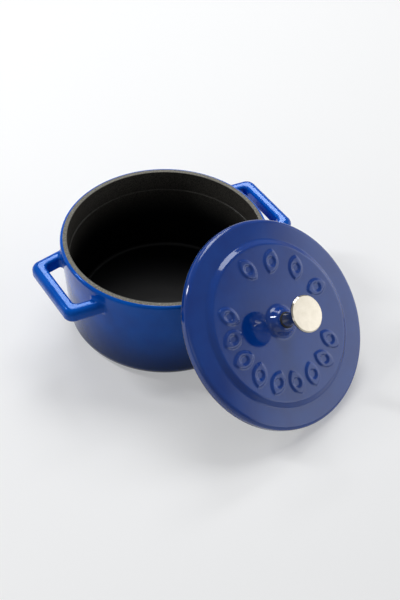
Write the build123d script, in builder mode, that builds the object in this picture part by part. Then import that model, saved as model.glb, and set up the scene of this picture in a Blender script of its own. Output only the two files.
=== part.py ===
from build123d import *
from math import cos, hypot, radians, sin, tan
import os

# A small round casserole of enamelled cast iron, about 16 cm across inside, with two loop
# handles cast in one with the pot, and a loose lid with a steel knob.
#
# Frame: the origin is the middle of the pot's base, +Z is up, and +X runs through a handle.
# The lid is off the pot. It leans on the rim with its lower edge on the ground.
# Lengths are in millimetres, and angles in degrees.

# --- enamel and fits ---------------------------------------------------------------------
enamel = 0.4  # thickness of the coats on the iron
rest_gap = 0.3  # between the leaning lid and the rim
lid_side_clearance = 0.7  # between the lid's locating lip and the inside of the rim
thread_clearance = 0.05  # between the screw and the knob's bore
screw_hole_clearance = 0.3  # between the screw and what it passes through

# --- pot ---------------------------------------------------------------------------------
pot_height = 84.0
rim_radius = 84.9  # outside of the rim
rim_width = 6.0
rim_shoulder = 2.4  # rounding of the rim's outer edge
wall_taper = 3.9  # the outside draws in by this much from the rim to the ground
foot_rounding = 10.0
ground_pad_inset = 12.0  # from the foot's corner to the bare disc that the pot stands on
side_wall = 5.6  # thickness of the wall at the floor
floor_height = 4.4
floor_rounding = 3.6
ledge_depth = 19.0  # of the small step in the inner wall, below the rim
ledge_inset = 1.0  # inside radius at the rim, less that just under the step
ledge_rise = 0.7

rim_inner_radius = rim_radius - rim_width
foot_radius = rim_radius - wall_taper
ground_pad_radius = foot_radius - ground_pad_inset
wall_inner_radius = foot_radius - side_wall
ledge_radius = rim_inner_radius - ledge_inset

# --- handles -----------------------------------------------------------------------------
handle_stand_out = 21.3  # from the rim to the handle's outer face
handle_half_width = 33.3
handle_flare = 8.4  # each leg spreads by this angle towards the wall
handle_drop = 9.0  # from the rim down to the top of the handle
handle_thickness = 12.0
handle_bar = 10.3  # width of the bar
handle_leg = 9.8  # width of each leg
handle_corner = 8.5
window_corner = 4.5
handle_top_rounding = 4.8
handle_bottom_rounding = 3.8
window_rounding = 2.4
handle_root_rounding = 3.0
handle_root_inset = 22.0  # the legs start this far inside the rim's radius

handle_reach = rim_radius + handle_stand_out

# --- screw and washers ----------------------------------------------------------------------
screw_radius = 3.0
thread_engagement = 11.4  # length of screw inside the knob
screw_head_ledge = 2.2  # the head is wider than the shank by this much all round
screw_head_height = 3.4
screw_slot_length = 5.4
screw_slot_width = 1.1
screw_slot_depth = 1.9
flat_washer_width = 4.0  # from the screw to the washer's edge
flat_washer_thickness = 1.2
lock_washer_width = 2.4
lock_washer_thickness = 1.5
lock_washer_split = 1.2
pocket_clearance = 2.0  # round the flat washer

screw_head_radius = screw_radius + screw_head_ledge
flat_washer_radius = screw_radius + flat_washer_width
lock_washer_radius = screw_radius + lock_washer_width
screw_pocket_radius = flat_washer_radius + pocket_clearance

# --- knob -----------------------------------------------------------------------------------
gasket_ledge = 0.7  # the gasket is wider than the knob's foot by this much all round
gasket_thickness = 1.0
knob_height = 25.5
knob_radius = 14.4
knob_wall = 1.6  # of metal round the screw, at the neck
knob_foot_ledge = 1.1  # the foot is wider than the neck by this much all round
knob_neck_height = 5.5
knob_rim_height = 2.0  # of the disc's edge
knob_bevel = 0.9
bore_end_clearance = 1.6  # past the screw's end

knob_neck_radius = screw_radius + knob_wall
knob_foot_radius = knob_neck_radius + knob_foot_ledge
gasket_radius = knob_foot_radius + gasket_ledge
knob_bore_depth = thread_engagement + bore_end_clearance

# --- lid, with heights from the face that sits on the rim -----------------------------------
lid_inset = 1.5  # the lid's edge stands this far inside the rim's
flange_height = 8.2
flange_width = 16.9
lid_shoulder = 3.6
bare_edge_height = 1.2  # iron left bare above the seating face
bare_edge_rounding = 1.0
plateau_rise = 3.0
plateau_slope = 4.0  # width of the slope up to the plateau
plateau_rounding = 3.4
boss_rise = 7.7
boss_ledge = 2.7  # the boss's top is wider than the knob's foot by this much all round
boss_slope = 3.8
boss_shoulder = 3.4
boss_fillet = 4.0
lip_depth = 3.0
lip_width = 4.0
recess_height = 3.0  # of the underside inside the lip
screw_land = 9.9  # iron between the screw's pocket and the boss's top

lid_radius = rim_radius - lid_inset
plateau_foot_radius = lid_radius - flange_width
plateau_radius = plateau_foot_radius - plateau_slope
plateau_height = flange_height + plateau_rise
boss_height = plateau_height + boss_rise
boss_top_radius = knob_foot_radius + boss_ledge
boss_foot_radius = boss_top_radius + boss_slope
screw_pocket_height = boss_height - screw_land

# --- leaf border on the lid -----------------------------------------------------------------
relief_height = 0.9
leaf_inset = 14.4  # from the plateau's edge to the middle of the border
leaf_length = 19.0
leaf_width = 12.4
leaf_stroke = 2.9
border_heading = -44.0  # middle of the upper leaves, from the lid's uppermost point
upper_leaves = 4
upper_spread = 28.7  # angle from one upper leaf to the next
lower_leaves = 9
lower_spread = 21.0
leaf_lean = 16.0

leaf_ring_radius = plateau_radius - leaf_inset

# --- how the lid leans ----------------------------------------------------------------------
lid_tilt = 42.5  # from level
lean_heading = -72.7  # from +X, seen from above
bump_height = 2.0  # of the basting bumps under the lid
bump_base_radius = 3.2

# The lid's lower edge rests on the ground, and a basting bump rests on the rim's shoulder.
slope_sin = sin(radians(lid_tilt))
slope_cos = cos(radians(lid_tilt))
edge_centre_radius = lid_radius - bare_edge_rounding
lid_centre_height = (
    edge_centre_radius * slope_sin - bare_edge_rounding * slope_cos + bare_edge_rounding
)
bump_tip_height = recess_height - bump_height
rim_centre_radius = rim_radius - rim_shoulder
rim_centre_height = pot_height - rim_shoulder
lid_centre_reach = rim_centre_radius + (
    (rim_centre_height - lid_centre_height) * slope_cos
    + rim_shoulder + rest_gap - bump_tip_height
) / slope_sin

# The bumps stand in three rings, and the middle ring is the one that meets the rim.
contact_reach = (
    (lid_centre_reach - rim_centre_radius) * slope_cos
    + (rim_centre_height - lid_centre_height) * slope_sin
)
bump_rings = {contact_reach / 2: 6, contact_reach: 12, contact_reach * 3 / 2: 18}

heading_cos = cos(radians(lean_heading))
heading_sin = sin(radians(lean_heading))
lid_frame = Plane(
    origin=(
        lid_centre_reach * heading_cos,
        lid_centre_reach * heading_sin,
        lid_centre_height,
    ),
    x_dir=(-slope_cos * heading_cos, -slope_cos * heading_sin, slope_sin),
    z_dir=(slope_sin * heading_cos, slope_sin * heading_sin, slope_cos),
)
lid_section = Plane(
    origin=lid_frame.origin, x_dir=lid_frame.x_dir, z_dir=-lid_frame.y_dir
)
lid_axis = Axis(lid_frame.origin, lid_frame.z_dir)


def nearest_corner(sketch, x, y):
    """The corner of a sketch nearest to (x, y) in the sketch's own coordinates."""
    return sketch.vertices().sort_by_distance((x, y, 0))[0]


# --- pot ---------------------------------------------------------------------------------
def wall_radius(height):
    """Outside radius of the finished wall at a height above the ground."""
    return foot_radius + (rim_radius - foot_radius) * height / pot_height


def handle_blank(skin):
    """The handle on +X as one solid that runs into the pot, with a coat 'skin' left off."""
    low = pot_height - handle_drop - handle_thickness + skin
    high = pot_height - handle_drop - skin
    reach = handle_reach - skin
    root = rim_radius - handle_root_inset
    spread = tan(radians(handle_flare))
    half = handle_half_width - skin
    root_half = half + (reach - root) * spread
    gap_reach = handle_reach - handle_bar + skin
    gap_half = handle_half_width + handle_bar * spread - handle_leg + skin
    gap_root_half = gap_half + (gap_reach - root) * spread

    with BuildPart() as blank:
        with BuildSketch(Plane.XY.offset(low)) as outline:
            with BuildLine():
                Polyline(
                    (root, -root_half), (reach, -half), (reach, half), (root, root_half),
                    close=True,
                )
            make_face()
            fillet(outline.vertices().group_by(Axis.X)[-1], handle_corner - skin)
        extrude(amount=high - low)
        top = blank.edges().group_by(Axis.Z)[-1].filter_by(
            lambda edge: edge.center().X > root + enamel
        )
        fillet(top, handle_top_rounding - skin)
        bottom = blank.edges().group_by(Axis.Z)[0].filter_by(
            lambda edge: edge.center().X > root + enamel
        )
        fillet(bottom, handle_bottom_rounding - skin)

        with BuildSketch(Plane.XY.offset(low)) as window:
            with BuildLine():
                Polyline(
                    (root, -gap_root_half), (gap_reach, -gap_half),
                    (gap_reach, gap_half), (root, gap_root_half),
                    close=True,
                )
            make_face()
            fillet(window.vertices().group_by(Axis.X)[-1], window_corner + skin)
        extrude(amount=high - low, mode=Mode.SUBTRACT)

        def beside_window(edge):
            middle = edge.position_at(0.5)
            level = edge.bounding_box().size.Z < enamel
            beside = gap_half + (gap_reach - middle.X) * spread + enamel
            inside = middle.X < gap_reach + enamel and abs(middle.Y) < beside
            return level and inside and middle.X > root + enamel

        fillet(blank.edges().filter_by(beside_window), window_rounding - skin)
    return blank.part


def pot_outside(skin):
    """The outside of the pot and handles as a filled solid, with a coat 'skin' left off."""
    handle = handle_blank(skin)
    with BuildPart() as body:
        with BuildSketch(Plane.XZ) as section:
            with BuildLine():
                Polyline(
                    (0, skin), (foot_radius - skin, skin),
                    (rim_radius - skin, pot_height - skin), (0, pot_height - skin),
                    close=True,
                )
            make_face()
            foot = nearest_corner(section, foot_radius, 0)
            fillet(foot, foot_rounding - skin)
            rim = nearest_corner(section, rim_radius, pot_height)
            fillet(rim, rim_shoulder - skin)
        revolve(axis=Axis.Z)
        add(handle)
        add(handle.rotate(Axis.Z, 180))

        def at_root(edge):
            middle = edge.position_at(0.5)
            low = pot_height - handle_drop - handle_thickness
            beside = low - enamel < middle.Z < pot_height - handle_drop + enamel
            off_wall = hypot(middle.X, middle.Y) - wall_radius(middle.Z) + skin
            return beside and abs(off_wall) < enamel / 2

        fillet(body.edges().filter_by(at_root), handle_root_rounding + skin)
    return body.part


def pot_inside(coat):
    """The hollow of the pot as a filled solid, larger all round by 'coat'."""
    ledge_height = pot_height - ledge_depth
    with BuildPart() as hollow:
        with BuildSketch(Plane.XZ) as section:
            with BuildLine():
                Polyline(
                    (0, floor_height - coat),
                    (wall_inner_radius + coat, floor_height - coat),
                    (ledge_radius + coat, ledge_height - coat),
                    (ledge_radius + coat + ledge_rise, ledge_height + ledge_rise - coat),
                    (rim_inner_radius + coat, pot_height),
                    (0, pot_height),
                    close=True,
                )
            make_face()
            corner = nearest_corner(section, wall_inner_radius, floor_height)
            fillet(corner, floor_rounding + coat)
        revolve(axis=Axis.Z)
    return hollow.part


def bare_rim():
    """The flat top of the rim, where the iron shows between the coats, as a whole disc."""
    with BuildPart() as disc:
        with BuildSketch(Plane.XY.offset(pot_height - enamel)):
            Circle(rim_radius - rim_shoulder)
        extrude(amount=enamel)
    return disc.part


def ground_pad():
    """The bare flat disc under the pot."""
    with BuildPart() as pad:
        with BuildSketch():
            Circle(ground_pad_radius)
        extrude(amount=enamel)
    return pad.part


finished_pot = pot_outside(0)
raw_pot = pot_outside(enamel)
finished_hollow = pot_inside(0)
raw_hollow = pot_inside(enamel)
rim_disc = bare_rim()
pad_disc = ground_pad()

with BuildPart() as pot_casting:
    add(raw_pot)
    add(pad_disc)
    add(rim_disc)
    add(raw_hollow, mode=Mode.SUBTRACT)

with BuildPart() as pot_outer_enamel:
    add(finished_pot)
    add(raw_pot, mode=Mode.SUBTRACT)
    add(pad_disc, mode=Mode.SUBTRACT)
    add(rim_disc, mode=Mode.SUBTRACT)

with BuildPart() as pot_lining_enamel:
    add(raw_hollow)
    add(finished_hollow, mode=Mode.SUBTRACT)


# --- lid ---------------------------------------------------------------------------------
def leaf(length, width):
    """A pointed oval with its tips on the Y axis."""
    with BuildSketch() as outline:
        with BuildLine():
            ThreePointArc((0, -length / 2), (width / 2, 0), (0, length / 2))
            ThreePointArc((0, length / 2), (-width / 2, 0), (0, -length / 2))
        make_face()
    return outline.sketch


def leaf_border(skin):
    """Leaf outlines in two arcs about the lid's axis, thinner all round by 'skin'."""
    outer = leaf(leaf_length - 4 * skin, leaf_width - 2 * skin)
    inner = leaf(
        leaf_length - 4 * leaf_stroke + 4 * skin, leaf_width - 2 * leaf_stroke + 2 * skin
    )
    with BuildSketch() as border:
        for centre, count, spread in (
            (border_heading, upper_leaves, upper_spread),
            (border_heading + 180, lower_leaves, lower_spread),
        ):
            for number in range(count):
                angle = centre + (number - (count - 1) / 2) * spread
                lean = leaf_lean if number % 2 else -leaf_lean
                x = leaf_ring_radius * cos(radians(angle))
                y = leaf_ring_radius * sin(radians(angle))
                with Locations(Location((x, y, 0), (0, 0, angle - 90 + lean))):
                    add(outer)
                    add(inner, mode=Mode.SUBTRACT)
    return border.sketch


def lid_outside(skin):
    """The top and side of the lid as a filled solid, with a coat 'skin' left off."""
    border = leaf_border(skin)
    with BuildPart() as top:
        with BuildSketch(lid_section) as section:
            with BuildLine():
                Polyline(
                    (0, 0), (lid_radius - skin, 0), (lid_radius - skin, flange_height - skin),
                    (plateau_foot_radius - skin, flange_height - skin),
                    (plateau_radius - skin, plateau_height - skin),
                    (boss_foot_radius - skin, plateau_height - skin),
                    (boss_top_radius - skin, boss_height - skin), (0, boss_height - skin),
                    close=True,
                )
            make_face()
            for x, y, radius in (
                (lid_radius, flange_height, lid_shoulder - skin),
                (plateau_foot_radius, flange_height, plateau_rounding + skin),
                (plateau_radius, plateau_height, plateau_rounding - skin),
                (boss_foot_radius, plateau_height, boss_fillet + skin),
                (boss_top_radius, boss_height, boss_shoulder - skin),
            ):
                corner = nearest_corner(section, x - skin, y - skin)
                fillet(corner, radius)
        revolve(axis=lid_axis)
        with BuildSketch(lid_frame.offset(plateau_height - skin)):
            add(border)
        extrude(amount=relief_height)
    return top.part


def lid_underside(coat):
    """The hollow under the lid as a filled solid, larger all round by 'coat'."""
    lip_inner_radius = rim_inner_radius - lid_side_clearance - lip_width
    bump_radius = (bump_base_radius**2 + bump_height**2) / (2 * bump_height)
    with BuildPart() as hollow:
        with BuildSketch(lid_section):
            with BuildLine():
                Polyline(
                    (0, -lip_depth), (lip_inner_radius + coat, -lip_depth),
                    (lip_inner_radius + coat, recess_height + coat),
                    (screw_pocket_radius + coat, recess_height + coat),
                    (screw_pocket_radius + coat, screw_pocket_height + coat),
                    (0, screw_pocket_height + coat),
                    close=True,
                )
            make_face()
        revolve(axis=lid_axis)
        for ring_radius, count in bump_rings.items():
            with Locations(lid_frame.offset(bump_tip_height + bump_radius)):
                with PolarLocations(ring_radius, count):
                    Sphere(bump_radius - coat, mode=Mode.SUBTRACT)
    return hollow.part


def bare_edge():
    """The lid's lowest edge, where the iron shows between the coats."""
    with BuildPart() as edge:
        with BuildSketch(lid_section) as section:
            with BuildLine():
                Polyline(
                    (0, 0), (lid_radius, 0), (lid_radius, bare_edge_height),
                    (0, bare_edge_height),
                    close=True,
                )
            make_face()
            corner = nearest_corner(section, lid_radius, 0)
            fillet(corner, bare_edge_rounding)
        revolve(axis=lid_axis)
    return edge.part


def locating_lip():
    """The disc that drops inside the pot's rim, before its hollow is cut."""
    with BuildPart() as lip:
        with BuildSketch(lid_frame):
            Circle(rim_inner_radius - lid_side_clearance)
        extrude(amount=-lip_depth)
    return lip.part


def below_the_coat():
    """The space below the edge of the lid's outer coat."""
    with BuildPart() as space:
        with BuildSketch(lid_frame):
            Circle(lid_radius + lid_shoulder)
        extrude(amount=bare_edge_height)
    return space.part


def screw_hole():
    """The clearance hole through the middle of the lid."""
    with BuildPart() as hole:
        with BuildSketch(lid_frame):
            Circle(screw_radius + screw_hole_clearance)
        extrude(amount=boss_height)
    return hole.part


finished_lid = lid_outside(0)
raw_lid = lid_outside(enamel)
finished_recess = lid_underside(0)
raw_recess = lid_underside(enamel)
edge_disc = bare_edge()
lip_disc = locating_lip()
uncoated_space = below_the_coat()
hole = screw_hole()

with BuildPart() as lid_casting:
    add(raw_lid)
    add(uncoated_space, mode=Mode.SUBTRACT)
    add(edge_disc)
    add(lip_disc)
    add(raw_recess, mode=Mode.SUBTRACT)
    add(hole, mode=Mode.SUBTRACT)

with BuildPart() as lid_outer_enamel:
    add(finished_lid)
    add(raw_lid, mode=Mode.SUBTRACT)
    add(uncoated_space, mode=Mode.SUBTRACT)
    add(hole, mode=Mode.SUBTRACT)

with BuildPart() as lid_lining_enamel:
    add(raw_recess)
    add(finished_recess, mode=Mode.SUBTRACT)
    add(hole, mode=Mode.SUBTRACT)


# --- knob and its screw ---------------------------------------------------------------------
def washer(height, radius, thickness, split=0):
    """A washer with its lower face at a height on the lid's axis."""
    with BuildPart() as ring:
        with BuildSketch(lid_frame.offset(height)):
            Circle(radius)
            Circle(screw_radius + screw_hole_clearance, mode=Mode.SUBTRACT)
            if split:
                with Locations((radius, 0)):
                    Rectangle(2 * radius, split, mode=Mode.SUBTRACT)
        extrude(amount=thickness)
    return ring.part


knob_seat = boss_height + gasket_thickness
flat_washer_low = screw_pocket_height - flat_washer_thickness
lock_washer_low = flat_washer_low - lock_washer_thickness
gasket_ring = washer(boss_height, gasket_radius, gasket_thickness)
flat_ring = washer(flat_washer_low, flat_washer_radius, flat_washer_thickness)
split_ring = washer(
    lock_washer_low, lock_washer_radius, lock_washer_thickness, lock_washer_split
)

with BuildPart() as knob_gasket:
    add(gasket_ring)

with BuildPart() as flat_washer:
    add(flat_ring)

with BuildPart() as lock_washer:
    add(split_ring)

with BuildPart() as knob:
    knob_top = knob_seat + knob_height
    rim_low = knob_top - knob_rim_height
    with BuildSketch(lid_section):
        with BuildLine():
            Polyline((knob_foot_radius, knob_seat), (0, knob_seat), (0, knob_top))
            Polyline(
                (0, knob_top), (knob_radius - knob_bevel, knob_top),
                (knob_radius, knob_top - knob_bevel), (knob_radius, rim_low),
            )
            Spline(
                (knob_radius, rim_low),
                (knob_neck_radius, knob_seat + knob_neck_height),
                (knob_foot_radius, knob_seat),
                tangents=((-1, -0.28), (0.18, -1)),
            )
        make_face()
    revolve(axis=lid_axis)
    with BuildSketch(lid_frame.offset(knob_seat)):
        Circle(screw_radius + thread_clearance)
    extrude(amount=knob_bore_depth, mode=Mode.SUBTRACT)

with BuildPart() as knob_screw:
    with BuildSketch(lid_frame.offset(lock_washer_low)):
        Circle(screw_radius)
    extrude(amount=knob_seat + thread_engagement - lock_washer_low)
    with BuildSketch(lid_frame.offset(lock_washer_low)):
        Circle(screw_head_radius)
    extrude(amount=-screw_head_height)
    fillet(knob_screw.edges().sort_by(lid_axis)[0], screw_head_height / 3)
    with BuildSketch(lid_frame.offset(lock_washer_low - screw_head_height)):
        Rectangle(screw_slot_length, screw_slot_width)
        Rectangle(screw_slot_width, screw_slot_length)
    extrude(amount=screw_slot_depth, mode=Mode.SUBTRACT)

# --- the finished pieces ----------------------------------------------------------------------
os.makedirs("parts", exist_ok=True)
pieces = {
    "pot_casting": pot_casting,
    "pot_outer_enamel": pot_outer_enamel,
    "pot_lining_enamel": pot_lining_enamel,
    "lid_casting": lid_casting,
    "lid_outer_enamel": lid_outer_enamel,
    "lid_lining_enamel": lid_lining_enamel,
    "knob": knob,
    "knob_gasket": knob_gasket,
    "knob_screw": knob_screw,
    "flat_washer": flat_washer,
    "lock_washer": lock_washer,
}
for name, piece in pieces.items():
    piece.part.label = name
    export_step(piece.part, f"parts/{name}.step")
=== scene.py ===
from math import cos, hypot, pi, radians, sin, tan

import bpy
from mathutils import Matrix, Vector


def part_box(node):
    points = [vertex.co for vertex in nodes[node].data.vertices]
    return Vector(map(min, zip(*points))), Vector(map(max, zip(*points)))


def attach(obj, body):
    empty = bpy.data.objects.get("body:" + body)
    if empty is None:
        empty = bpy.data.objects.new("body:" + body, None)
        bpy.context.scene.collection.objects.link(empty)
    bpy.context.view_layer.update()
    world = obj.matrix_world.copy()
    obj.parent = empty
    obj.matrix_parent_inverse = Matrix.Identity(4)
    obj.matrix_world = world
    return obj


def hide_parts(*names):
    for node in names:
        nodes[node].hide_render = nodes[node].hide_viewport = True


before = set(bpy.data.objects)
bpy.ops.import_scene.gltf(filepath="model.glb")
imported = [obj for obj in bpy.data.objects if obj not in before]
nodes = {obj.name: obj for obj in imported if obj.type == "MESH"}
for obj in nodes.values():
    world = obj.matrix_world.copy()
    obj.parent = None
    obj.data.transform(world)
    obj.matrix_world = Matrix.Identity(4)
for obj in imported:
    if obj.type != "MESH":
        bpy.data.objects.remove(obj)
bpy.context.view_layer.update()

# --- camera --------------------------------------------------------------------------------
CAMERA_PLACE = Vector((-0.3368, -0.5747, 0.6785))
CAMERA_HEADING = radians(57.06)  # from +X, seen from above
CAMERA_PITCH = radians(45.2)  # below level
CAMERA_ROLL = radians(1.39)
CAMERA_LENS = 66.0
SENSOR_WIDTH = 36.0
NEAREST_SEEN = 0.01

# --- the lid, with heights from the face that sits on the rim, in metres --------------------
LID_TILT = radians(42.5)
LEAN_HEADING = radians(-72.7)
ENAMEL = 0.0004
LID_RADIUS = 0.0834
LID_SHOULDER = 0.0036
BARE_EDGE = 0.0012
FLANGE_HEIGHT = 0.0082
PLATEAU_FOOT = LID_RADIUS - 0.0169
PLATEAU_RADIUS = PLATEAU_FOOT - 0.0040
PLATEAU_HEIGHT = FLANGE_HEIGHT + 0.0030
PLATEAU_ROUNDING = 0.0034
BOSS_HEIGHT = PLATEAU_HEIGHT + 0.0077
BOSS_TOP = 0.0084
BOSS_FOOT = BOSS_TOP + 0.0038
BOSS_SHOULDER = 0.0034
BOSS_FILLET = 0.0040
SCREW_HOLE = 0.0033
GASKET = 0.0010
LEAF_RING = PLATEAU_RADIUS - 0.0144
LEAF_LENGTH = 0.0190
LEAF_WIDTH = 0.0124
LEAF_STROKE = 0.0029
LEAF_HEIGHT = 0.0008
LEAF_SPILL = 0.0007  # the glaze softens each leaf this far past its edge
LEAF_SOFTNESS = 0.0015
LEAF_LEAN = 16.0
BORDER_HEADING = -44.0
UPPER_LEAVES = 4
UPPER_SPREAD = 28.7
LOWER_LEAVES = 9
LOWER_SPREAD = 21.0
LEAF_STEP = 0.00055  # between the points of the mesh that the leaves are raised in
PLATEAU_MARGIN = 0.00005  # how far below the plateau a point still counts as on it
LID_STEPS = 480  # facets round the lid
SEAM = 0.00001  # points nearer than this are the same point
SMOOTH_ANGLE = radians(50)

# --- light ---------------------------------------------------------------------------------
WORLD_LIGHT = 0.13
ROOM_IN_GLOSS = 0.4  # how bright the pale room shows in glossy pieces
WALL_GLOW = 2.0
WALL_DOWN = Vector((0.473, 0.214, -0.856))  # down the wall, as right, ahead and up
WALL_FADE = (-0.07, 0.11)  # from dark to bright, going down it
WALL_SIDES = (0.6, 0.88)  # from dark to bright, going to the camera's right
FLOOR_LIFT = 0.33  # how much brighter the floor shows than it is lit
LEFT_POWER = 7.0
TOP_POWER = 10.5
BEYOND_POWER = 7.0
FRONT_POWER = 1.2
MIDDLE_OF_POT = (0, 0, 0.05)
LEVEL_WITH_BEYOND = (0.674, 0, 0.075)  # so that this lamp lies along +X, as the handles do
# name, heading, height, distance, width, length, power, aim
SOFTBOXES = (
    ("softbox_left", 170, 0.9, 1.0, 0.10, 0.36, LEFT_POWER, MIDDLE_OF_POT),
    ("softbox_top", 82, 1.4, 0.72, 0.9, 0.6, TOP_POWER, MIDDLE_OF_POT),
    ("softbox_beyond", 92.6, 1.29, 1.333, 0.9, 0.18, BEYOND_POWER, LEVEL_WITH_BEYOND),
    ("softbox_front", 240, 0.8, 1.3, 1.0, 0.6, FRONT_POWER, MIDDLE_OF_POT),
)
FLOOR_SIZE = 8.0
FLOOR_DROP = 0.0003  # below the pot's base, so that the two don't flicker
FLOOR_LIT = (0.75, 0.75, 0.75, 1)  # the paper as it lights the pot
FLOOR_SEEN = (0.58, 0.585, 0.59, 1)  # the paper as it shows
FLOOR_GLOW = (0.985, 0.99, 1.0, 1)

# --- finishes, with heights in metres ----------------------------------------------------------
# Painted light and shade: the pot and the lid wear one blue enamel, but the pot's copy is painted
# brighter and the lid's darker.
POT_LIT_DARK_BLUE = (0.0, 0.070, 0.42)
POT_LIT_LIGHT_BLUE = (0.0, 0.096, 0.52)
# Painted shade: the pot's foot is painted navy, darker towards the bottom, where the floor round
# it lies in shadow.
POT_PAINTED_SHADE_NAVY = (0.0, 0.012, 0.09)
POT_TINT = (0.10, 0.40, 1.0, 1)
LID_SHADED_DARK_BLUE = (0.0, 0.032, 0.23)
LID_SHADED_LIGHT_BLUE = (0.0, 0.044, 0.28)
LID_TINT = (0.8, 0.9, 1.0, 1)
FOOT_SHADE_FADE = (0.004, 0.062)  # heights between which the painted shade at the pot's foot goes from navy to blue
INSIDE_SHADE_FADE = (0.035, 0.080)  # heights between which the black enamel goes from the painted shade deep in the pot to its lighter colour near the rim


def set_camera():
    """A camera above the front left, looking down into the pot."""
    level = Vector((cos(CAMERA_HEADING), sin(CAMERA_HEADING), 0))
    right = Vector((sin(CAMERA_HEADING), -cos(CAMERA_HEADING), 0))
    ahead = level * cos(CAMERA_PITCH) - Vector((0, 0, sin(CAMERA_PITCH)))
    up = right.cross(ahead)
    tipped_right = right * cos(CAMERA_ROLL) + up * sin(CAMERA_ROLL)
    tipped_up = up * cos(CAMERA_ROLL) - right * sin(CAMERA_ROLL)
    camera = bpy.data.objects.new("camera", bpy.data.cameras.new("camera"))
    bpy.context.scene.collection.objects.link(camera)
    turn = Matrix((tipped_right, tipped_up, -ahead)).transposed().to_4x4()
    camera.matrix_world = Matrix.Translation(CAMERA_PLACE) @ turn
    camera.data.lens = CAMERA_LENS
    camera.data.sensor_width = SENSOR_WIDTH
    camera.data.clip_start = NEAREST_SEEN
    bpy.context.scene.camera = camera


# --- light and stage -------------------------------------------------------------------------
def seen_from_camera(heading, height, distance):
    """A place round the pot. Heading 0 is to the camera's right, and 90 beyond the pot."""
    angle = CAMERA_HEADING - pi / 2 + radians(heading)
    return Vector((distance * cos(angle), distance * sin(angle), height))


def add_softbox(name, heading, height, distance, width, length, power, aim):
    """A rectangular lamp that faces its aim."""
    lamp = bpy.data.lights.new(name, "AREA")
    lamp.shape = "RECTANGLE"
    lamp.size = width
    lamp.size_y = length
    lamp.energy = power
    holder = bpy.data.objects.new(name, lamp)
    bpy.context.scene.collection.objects.link(holder)
    place = seen_from_camera(heading, height, distance)
    turn = (Vector(aim) - place).to_track_quat("-Z", "Y").to_matrix().to_4x4()
    holder.matrix_world = Matrix.Translation(place) @ turn


def floor_material():
    """Pale paper. It shows a little brighter than it is lit, so the shadows stay soft."""
    material = bpy.data.materials.new("studio_floor")
    material.use_nodes = True
    tree = material.node_tree
    paper = tree.nodes["Principled BSDF"]
    paper.inputs["Roughness"].default_value = 0.8
    paper.inputs["Specular IOR Level"].default_value = 0.1
    ray = tree.nodes.new("ShaderNodeLightPath")
    seen = tree.nodes.new("ShaderNodeMath")
    seen.operation = "MAXIMUM"
    tree.links.new(ray.outputs["Is Camera Ray"], seen.inputs[0])
    tree.links.new(ray.outputs["Is Glossy Ray"], seen.inputs[1])
    seen_through = tree.nodes.new("ShaderNodeMath")
    seen_through.operation = "MAXIMUM"
    tree.links.new(seen.outputs["Value"], seen_through.inputs[0])
    tree.links.new(ray.outputs["Is Transmission Ray"], seen_through.inputs[1])
    shade = add_mix(tree, seen_through.outputs["Value"])
    shade.inputs["A"].default_value = FLOOR_LIT
    shade.inputs["B"].default_value = FLOOR_SEEN
    tree.links.new(shade.outputs["Result"], paper.inputs["Base Color"])
    lift = tree.nodes.new("ShaderNodeMath")
    lift.operation = "MULTIPLY"
    lift.inputs[1].default_value = FLOOR_LIFT
    tree.links.new(seen_through.outputs["Value"], lift.inputs[0])
    paper.inputs["Emission Color"].default_value = FLOOR_GLOW
    tree.links.new(lift.outputs["Value"], paper.inputs["Emission Strength"])
    return material


def set_stage():
    bpy.ops.object.select_all(action="DESELECT")
    bpy.ops.mesh.primitive_plane_add(size=FLOOR_SIZE, location=(0, 0, -FLOOR_DROP))
    floor = bpy.context.object
    floor.name = "studio_floor"
    floor.data.materials.append(floor_material())

    bpy.context.scene.world = studio_world()
    for softbox in SOFTBOXES:
        add_softbox(*softbox)


def studio_world():
    """Even room light, with a low bright wall to the camera's right that fades upwards."""
    world = bpy.data.worlds.new("studio")
    world.use_nodes = True
    tree = world.node_tree
    back = tree.nodes["Background"]
    back.inputs["Color"].default_value = (1, 1, 1, 1)
    direction = tree.nodes.new("ShaderNodeTexCoord").outputs["Generated"]
    right = Vector((sin(CAMERA_HEADING), -cos(CAMERA_HEADING), 0))
    level = Vector((cos(CAMERA_HEADING), sin(CAMERA_HEADING), 0))

    def along(vector, low, high):
        dot = tree.nodes.new("ShaderNodeVectorMath")
        dot.operation = "DOT_PRODUCT"
        dot.inputs[1].default_value = vector
        tree.links.new(direction, dot.inputs[0])
        return add_fade(tree, dot.outputs["Value"], low, high)

    def combine(operation, first, second):
        node = tree.nodes.new("ShaderNodeMath")
        node.operation = operation
        for socket, value in zip(node.inputs, (first, second)):
            if isinstance(value, (int, float)):
                socket.default_value = value
            else:
                tree.links.new(value, socket)
        return node.outputs["Value"]

    down = right * WALL_DOWN.x + level * WALL_DOWN.y + Vector((0, 0, WALL_DOWN.z))
    wall = combine("MULTIPLY", along(down, *WALL_FADE), along(right, *WALL_SIDES))
    light = combine("ADD", combine("MULTIPLY", wall, WALL_GLOW), WORLD_LIGHT)
    ray = tree.nodes.new("ShaderNodeLightPath").outputs
    seen = combine("MAXIMUM", ray["Is Camera Ray"], ray["Is Transmission Ray"])
    mirrored = combine("MULTIPLY", ray["Is Glossy Ray"], ROOM_IN_GLOSS)
    shown = combine("MAXIMUM", seen, mirrored)
    tree.links.new(combine("MAXIMUM", light, shown), back.inputs["Strength"])
    return world


# --- finishes ----------------------------------------------------------------------------------
def new_finish(name):
    """A material with its shader and the nodes that read the piece's own coordinates."""
    material = bpy.data.materials.new(name)
    material.use_nodes = True
    tree = material.node_tree
    shader = tree.nodes["Principled BSDF"]
    place = tree.nodes.new("ShaderNodeTexCoord")
    return material, tree, shader, place.outputs["Object"]


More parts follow.
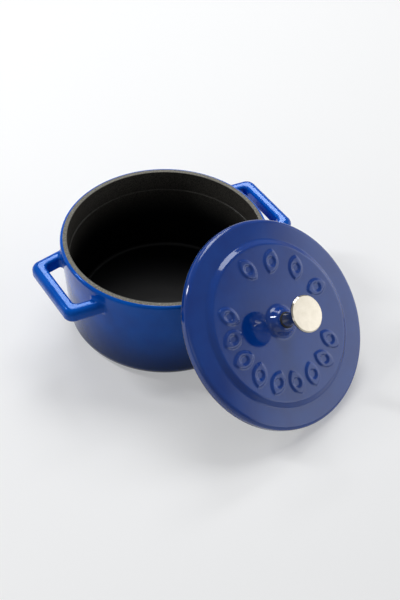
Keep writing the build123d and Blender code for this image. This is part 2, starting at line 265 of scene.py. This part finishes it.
def add_noise(tree, place, size, detail=3.0, roughness=0.55):
    """Noise with grains about 'size' across, in metres."""
    noise = tree.nodes.new("ShaderNodeTexNoise")
    noise.inputs["Scale"].default_value = 1.0 / size
    noise.inputs["Detail"].default_value = detail
    noise.inputs["Roughness"].default_value = roughness
    tree.links.new(place, noise.inputs["Vector"])
    return noise.outputs["Fac"]


def add_ramp(tree, value, stops):
    """A colour or grey scale from (position, colour) stops."""
    ramp = tree.nodes.new("ShaderNodeValToRGB")
    while len(ramp.color_ramp.elements) < len(stops):
        ramp.color_ramp.elements.new(0.5)
    for element, (position, colour) in zip(ramp.color_ramp.elements, stops):
        element.position = position
        element.color = (*colour, 1)
    tree.links.new(value, ramp.inputs["Fac"])
    return ramp.outputs["Color"]


def add_fade(tree, value, low, high):
    """0 below 'low', 1 above 'high', and smooth between."""
    fade = tree.nodes.new("ShaderNodeMapRange")
    fade.interpolation_type = "SMOOTHSTEP"
    fade.inputs["From Min"].default_value = low
    fade.inputs["From Max"].default_value = high
    tree.links.new(value, fade.inputs["Value"])
    return fade.outputs["Result"]


def add_height(tree, place):
    axes = tree.nodes.new("ShaderNodeSeparateXYZ")
    tree.links.new(place, axes.inputs["Vector"])
    return axes.outputs["Z"]


def add_mix(tree, share):
    """A colour mix. The caller fills A and B."""
    mix = tree.nodes.new("ShaderNodeMix")
    mix.data_type = "RGBA"
    tree.links.new(share, mix.inputs["Factor"])
    return mix


def add_bump(tree, shader, height, distance, strength=1.0):
    bump = tree.nodes.new("ShaderNodeBump")
    bump.inputs["Distance"].default_value = distance
    bump.inputs["Strength"].default_value = strength
    tree.links.new(height, bump.inputs["Height"])
    tree.links.new(bump.outputs["Normal"], shader.inputs["Normal"])


def blue_enamel(name, dark, light, ior, roughness, tint, coat, painted_foot_shade=None):
    """Deep gloss: a clear coat with orange peel over a blue that pools a little unevenly.

    The pot's copy has painted shade, going down to a navy foot."""
    material, tree, shader, place = new_finish(name)
    drift = add_noise(tree, place, 0.025, 3.0)
    colour = add_ramp(tree, drift, ((0.3, dark), (0.7, light)))
    # painted shade: the colour goes to navy towards the pot's foot
    if painted_foot_shade:
        foot_shaded = add_mix(tree, add_fade(tree, add_height(tree, place), *FOOT_SHADE_FADE))
        foot_shaded.inputs["A"].default_value = (*painted_foot_shade, 1)
        tree.links.new(colour, foot_shaded.inputs["B"])
        colour = foot_shaded.outputs["Result"]
    tree.links.new(colour, shader.inputs["Base Color"])
    shader.inputs["Roughness"].default_value = roughness
    shader.inputs["IOR"].default_value = ior
    shader.inputs["Specular Tint"].default_value = tint
    shader.inputs["Coat Weight"].default_value = coat
    shader.inputs["Coat Roughness"].default_value = 0.04
    shader.inputs["Coat IOR"].default_value = 1.45
    add_bump(tree, shader, add_noise(tree, place, 0.0035, 1.5), 0.000025)
    return material


def black_enamel():
    """Satin black with a fine pebble texture, with painted shade deep in the pot, and lighter and
    speckled towards the rim.
    """
    material, tree, shader, place = new_finish("black_enamel")
    grain = add_noise(tree, place, 0.0009, 4.0, 0.7)
    # painted shade: the colour deep in the pot is far darker than near the rim
    painted_shade_deep = add_ramp(
        tree, grain, ((0.35, (0.0006, 0.0008, 0.0014)), (0.75, (0.0025, 0.0027, 0.0036)))
    )
    lighter_near_rim = add_ramp(tree, grain, ((0.35, (0.016, 0.016, 0.016)), (0.66, (0.085, 0.080, 0.070))))
    colour = add_mix(tree, add_fade(tree, add_height(tree, place), *INSIDE_SHADE_FADE))
    tree.links.new(painted_shade_deep, colour.inputs["A"])
    tree.links.new(lighter_near_rim, colour.inputs["B"])
    tree.links.new(colour.outputs["Result"], shader.inputs["Base Color"])
    shader.inputs["Roughness"].default_value = 0.36
    shader.inputs["Specular IOR Level"].default_value = 0.1
    add_bump(tree, shader, grain, 0.0001, 0.7)
    return material


def bare_iron():
    """Ground cast iron: grey, freckled with dark pores and lighter worn grains."""
    material, tree, shader, place = new_finish("bare_iron")
    grain = add_noise(tree, place, 0.0015, 6.0, 0.8)
    colour = add_ramp(
        tree, grain,
        ((0.34, (0.016, 0.015, 0.012)), (0.47, (0.09, 0.086, 0.067)), (0.58, (0.17, 0.162, 0.132)),
         (0.72, (0.40, 0.39, 0.34))),
    )
    tree.links.new(colour, shader.inputs["Base Color"])
    shader.inputs["Roughness"].default_value = 0.55
    shader.inputs["Metallic"].default_value = 0.2
    add_bump(tree, shader, grain, 0.0003, 0.7)
    return material


def polished_steel():
    """Warm polished steel with a trace of polishing haze."""
    material, tree, shader, place = new_finish("polished_steel")
    haze = add_noise(tree, place, 0.006, 3.0)
    colour = add_ramp(tree, haze, ((0.3, (0.48, 0.445, 0.375)), (0.7, (0.53, 0.495, 0.425))))
    tree.links.new(colour, shader.inputs["Base Color"])
    shader.inputs["Metallic"].default_value = 1.0
    shader.inputs["Roughness"].default_value = 0.09
    return material


def fastener_steel():
    material, tree, shader, place = new_finish("fastener_steel")
    haze = add_noise(tree, place, 0.001, 4.0)
    colour = add_ramp(tree, haze, ((0.3, (0.42, 0.42, 0.43)), (0.7, (0.60, 0.60, 0.60))))
    tree.links.new(colour, shader.inputs["Base Color"])
    shader.inputs["Metallic"].default_value = 1.0
    shader.inputs["Roughness"].default_value = 0.3
    add_bump(tree, shader, haze, 0.00005, 0.5)
    return material


def dark_gasket():
    material, tree, shader, place = new_finish("dark_gasket")
    grain = add_noise(tree, place, 0.0005, 4.0)
    colour = add_ramp(tree, grain, ((0.3, (0.010, 0.010, 0.010)), (0.7, (0.030, 0.030, 0.030))))
    tree.links.new(colour, shader.inputs["Base Color"])
    shader.inputs["Roughness"].default_value = 0.7
    add_bump(tree, shader, grain, 0.0001, 0.5)
    return material


# --- the lid's glaze ---------------------------------------------------------------------------
def leaf_places():
    """Centre and turn of each leaf, on the lid's own axes."""
    places = []
    for middle, count, spread in (
        (BORDER_HEADING, UPPER_LEAVES, UPPER_SPREAD),
        (BORDER_HEADING + 180, LOWER_LEAVES, LOWER_SPREAD),
    ):
        for number in range(count):
            angle = middle + (number - (count - 1) / 2) * spread
            lean = LEAF_LEAN if number % 2 else -LEAF_LEAN
            x = LEAF_RING * cos(radians(angle))
            y = LEAF_RING * sin(radians(angle))
            places.append((x, y, radians(angle - 90 + lean)))
    return places


def inside_leaf(x, y, length, width):
    """How far a point lies inside a pointed oval."""
    offset = (length**2 - width**2) / (4 * width)
    return width / 2 + offset - hypot(abs(x) + offset, y)


def leaf_swell(x, y, places):
    """Height of the leaf relief over the plateau, with soft shoulders."""
    most = 0.0
    for leaf_x, leaf_y, turn in places:
        if hypot(x - leaf_x, y - leaf_y) > LEAF_LENGTH / 2 + LEAF_SOFTNESS:
            continue
        across = (x - leaf_x) * cos(turn) + (y - leaf_y) * sin(turn)
        along = (y - leaf_y) * cos(turn) - (x - leaf_x) * sin(turn)
        depth = min(
            inside_leaf(across, along, LEAF_LENGTH, LEAF_WIDTH),
            -inside_leaf(
                across, along, LEAF_LENGTH - 4 * LEAF_STROKE, LEAF_WIDTH - 2 * LEAF_STROKE
            ),
        )
        share = min(max((depth + LEAF_SPILL) / LEAF_SOFTNESS, 0.0), 1.0)
        most = max(most, LEAF_HEIGHT * share * share * (3 - 2 * share))
    return most


def rounded(points, steps=8):
    """A profile of (radius, height, rounding) corners as points, with each corner an arc."""
    line = []
    for number, (x, y, size) in enumerate(points):
        corner = Vector((x, y))
        if not size or number in (0, len(points) - 1):
            line.append(corner)
            continue
        before = (Vector(points[number - 1][:2]) - corner).normalized()
        after = (Vector(points[number + 1][:2]) - corner).normalized()
        half = before.angle(after) / 2
        reach = size / tan(half)
        centre = corner + (before + after).normalized() * size / sin(half)
        start = (corner + before * reach) - centre
        turn = start.angle_signed((corner + after * reach) - centre)
        for step in range(steps + 1):
            angle = -turn * step / steps
            line.append(centre + Vector((
                start.x * cos(angle) - start.y * sin(angle),
                start.x * sin(angle) + start.y * cos(angle),
            )))
    return line


def with_steps(line, low, high, step):
    """The same profile with points no further than 'step' apart between two radii."""
    closer = [line[0]]
    for point in line[1:]:
        last = closer[-1]
        if low <= (last.x + point.x) / 2 <= high or (last.x > high and point.x < low):
            count = max(1, int((point - last).length / step))
            for number in range(1, count):
                closer.append(last.lerp(point, number / count))
        closer.append(point)
    return closer


def lathe(name, line, steps):
    """A piece turned from a profile about the Z axis, closed where it meets itself."""
    bpy.ops.object.select_all(action="DESELECT")
    bpy.ops.mesh.primitive_plane_add(size=0.001, location=(0, 0, 0))
    piece = bpy.context.object
    piece.name = name
    bpy.ops.object.mode_set(mode="EDIT")
    bpy.ops.mesh.select_all(action="SELECT")
    bpy.ops.mesh.merge(type="CENTER")
    bpy.ops.transform.translate(value=(line[0].x, 0, line[0].y))
    for last, point in zip(line, line[1:]):
        move = point - last
        bpy.ops.mesh.extrude_region_move(TRANSFORM_OT_translate={"value": (move.x, 0, move.y)})
    bpy.ops.mesh.select_all(action="SELECT")
    bpy.ops.mesh.spin(
        steps=steps, angle=2 * pi, center=(0, 0, 0), axis=(0, 0, 1), use_auto_merge=False
    )
    bpy.ops.mesh.select_all(action="SELECT")
    bpy.ops.mesh.remove_doubles(threshold=SEAM)
    bpy.ops.mesh.normals_make_consistent(inside=False)
    bpy.ops.object.mode_set(mode="OBJECT")
    return piece


def settle(piece, place):
    """Puts a piece at its place for good, so that its object sits at the origin."""
    piece.matrix_world = place
    bpy.ops.object.select_all(action="DESELECT")
    piece.select_set(True)
    bpy.context.view_layer.objects.active = piece
    bpy.ops.object.transform_apply(location=True, rotation=True, scale=True)
    bpy.ops.object.shade_smooth_by_angle(angle=SMOOTH_ANGLE)


def lid_place():
    """The lid's own axes: X up its slope, Z out of its top, from the middle of its seat."""
    low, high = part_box("knob_gasket")
    middle = (Vector(low) + Vector(high)) / 2
    out = Vector((
        sin(LID_TILT) * cos(LEAN_HEADING), sin(LID_TILT) * sin(LEAN_HEADING), cos(LID_TILT)
    ))
    up_slope = Vector((
        -cos(LID_TILT) * cos(LEAN_HEADING), -cos(LID_TILT) * sin(LEAN_HEADING), sin(LID_TILT)
    ))
    turn = Matrix((up_slope, out.cross(up_slope), out)).transposed().to_4x4()
    return Matrix.Translation(middle - out * (BOSS_HEIGHT + GASKET / 2)) @ turn


def lid_glaze(material):
    """The coat on the lid's top and side, with the leaf border raised softly in it."""
    outside = rounded((
        (LID_RADIUS, BARE_EDGE, 0),
        (LID_RADIUS, FLANGE_HEIGHT, LID_SHOULDER),
        (PLATEAU_FOOT, FLANGE_HEIGHT, PLATEAU_ROUNDING),
        (PLATEAU_RADIUS, PLATEAU_HEIGHT, PLATEAU_ROUNDING),
        (BOSS_FOOT, PLATEAU_HEIGHT, BOSS_FILLET),
        (BOSS_TOP, BOSS_HEIGHT, BOSS_SHOULDER),
        (SCREW_HOLE, BOSS_HEIGHT, 0),
    ))
    band = LEAF_LENGTH / 2 + LEAF_SOFTNESS
    outside = with_steps(outside, LEAF_RING - band, LEAF_RING + band, LEAF_STEP)
    inside = rounded((
        (SCREW_HOLE, BOSS_HEIGHT - ENAMEL, 0),
        (BOSS_TOP - ENAMEL, BOSS_HEIGHT - ENAMEL, BOSS_SHOULDER - ENAMEL),
        (BOSS_FOOT - ENAMEL, PLATEAU_HEIGHT - ENAMEL, BOSS_FILLET + ENAMEL),
        (PLATEAU_RADIUS - ENAMEL, PLATEAU_HEIGHT - ENAMEL, PLATEAU_ROUNDING - ENAMEL),
        (PLATEAU_FOOT - ENAMEL, FLANGE_HEIGHT - ENAMEL, PLATEAU_ROUNDING + ENAMEL),
        (LID_RADIUS - ENAMEL, FLANGE_HEIGHT - ENAMEL, LID_SHOULDER - ENAMEL),
        (LID_RADIUS - ENAMEL, BARE_EDGE, 0),
    ), steps=2)
    piece = lathe("lid_glaze", outside + inside + [outside[0]], LID_STEPS)
    places = leaf_places()
    for vertex in piece.data.vertices:
        x, y, z = vertex.co
        if z > PLATEAU_HEIGHT - PLATEAU_MARGIN and hypot(x, y) > BOSS_FOOT * 2:
            vertex.co.z += leaf_swell(x, y, places)
    settle(piece, lid_place())
    piece.data.materials.append(material)
    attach(piece, "lid")
    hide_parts("lid_outer_enamel")
    return piece


def finish_node(name, material):
    """Gives a carried-over piece its finish."""
    mesh = nodes[name].data
    if not mesh.materials:
        mesh.materials.append(material)
    for number in range(len(nodes[name].material_slots)):
        nodes[name].material_slots[number].material = material


scene = bpy.context.scene
scene.view_settings.view_transform = "Standard"
set_camera()
set_stage()

# Two copies of one blue enamel: the pot's is painted brighter and the lid's darker, as painted
# light and shade.
pot_blue = blue_enamel(
    "pot_enamel_painted_lit", POT_LIT_DARK_BLUE, POT_LIT_LIGHT_BLUE,
    ior=1.36, roughness=0.09, tint=POT_TINT, coat=0.1, painted_foot_shade=POT_PAINTED_SHADE_NAVY,
)
lid_blue = blue_enamel(
    "lid_enamel_painted_shaded", LID_SHADED_DARK_BLUE, LID_SHADED_LIGHT_BLUE,
    ior=1.38, roughness=0.1, tint=LID_TINT, coat=0.5,
)
black = black_enamel()
iron = bare_iron()
finish_node("pot_casting", iron)
finish_node("pot_outer_enamel", pot_blue)
finish_node("pot_lining_enamel", black)
finish_node("lid_casting", iron)
lid_glaze(lid_blue)
finish_node("lid_lining_enamel", black)
finish_node("knob", polished_steel())
finish_node("knob_gasket", dark_gasket())
steel = fastener_steel()
for fastener in ("knob_screw", "flat_washer", "lock_washer"):
    finish_node(fastener, steel)
